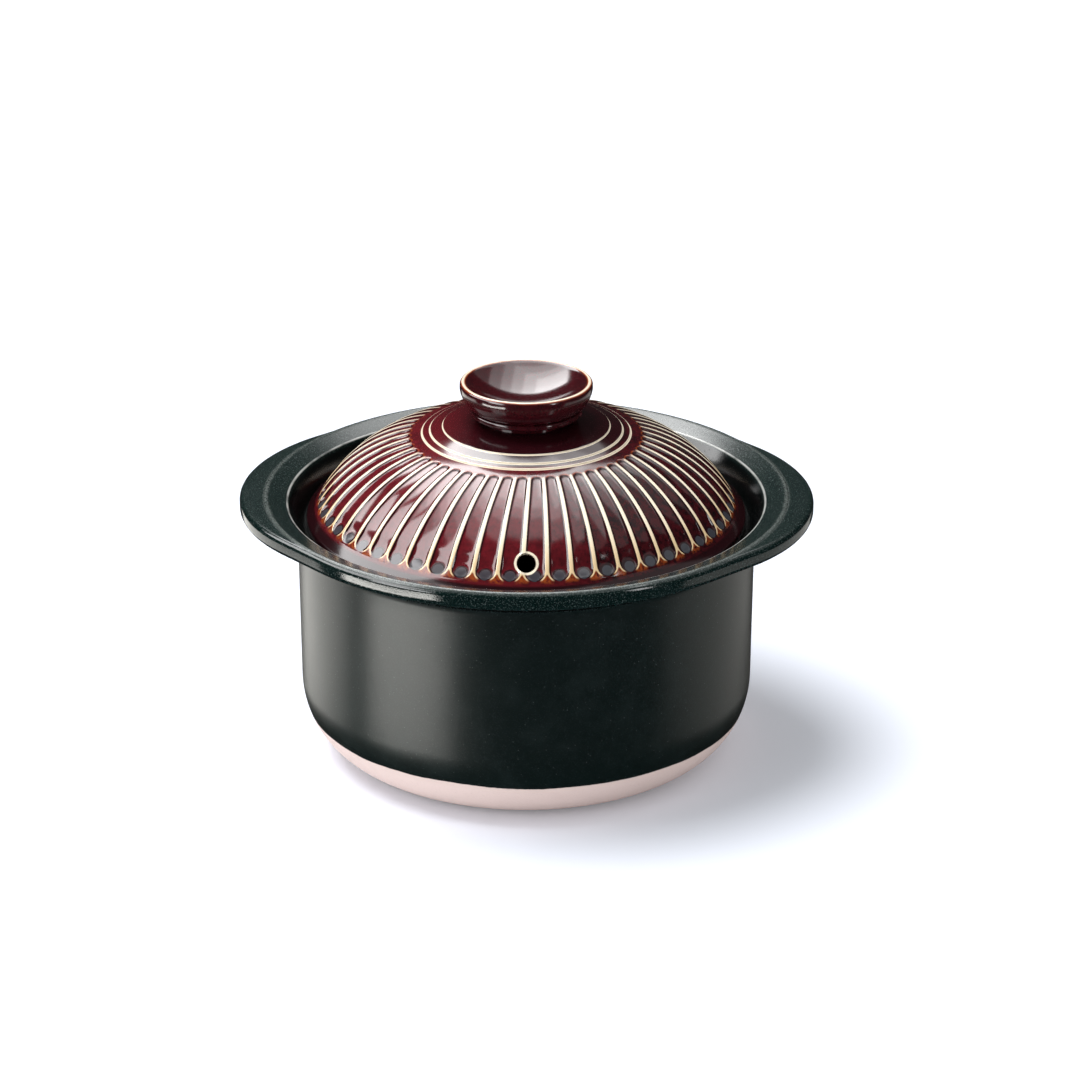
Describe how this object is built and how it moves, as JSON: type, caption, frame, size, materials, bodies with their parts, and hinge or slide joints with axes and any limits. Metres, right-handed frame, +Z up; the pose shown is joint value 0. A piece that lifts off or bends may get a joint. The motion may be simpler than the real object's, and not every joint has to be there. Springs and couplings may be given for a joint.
{
  "type": "clay cooking pot",
  "caption": "Round clay cooking pot with a wide flange, two side lugs and a domed, fluted lid with a dished knob and a steam hole.",
  "frame": {"origin": "middle of the base, on the surface that the pot stands on", "axes": "+Z up, +X through the right-hand lug, -Y towards the front; the steam hole is 3.6 degrees round from -Y towards +X, as the lid sits in the picture"},
  "size_m": [0.2392, 0.2204, 0.1606],
  "materials": {
    "pot_glaze": "satin dark green-black glaze with fine speckle, bare pink-beige clay below the glaze line",
    "lid_glaze": "glossy deep red-brown glaze that breaks to cream and amber on the ribs",
    "knob_glaze": "glossy deep red-brown glaze with an amber and cream line on the rim"
  },
  "bodies": {
    "pot": {"pot_body": "pot_glaze"},
    "lid": {"lid": "lid_glaze", "lid_knob": "knob_glaze"}
  },
  "joints": [
    {"name": "lid_lift", "type": "slide", "parent": "pot", "child": "lid", "axis": [0, 0, 1], "range_m": [0, 0.12]}
  ]
}
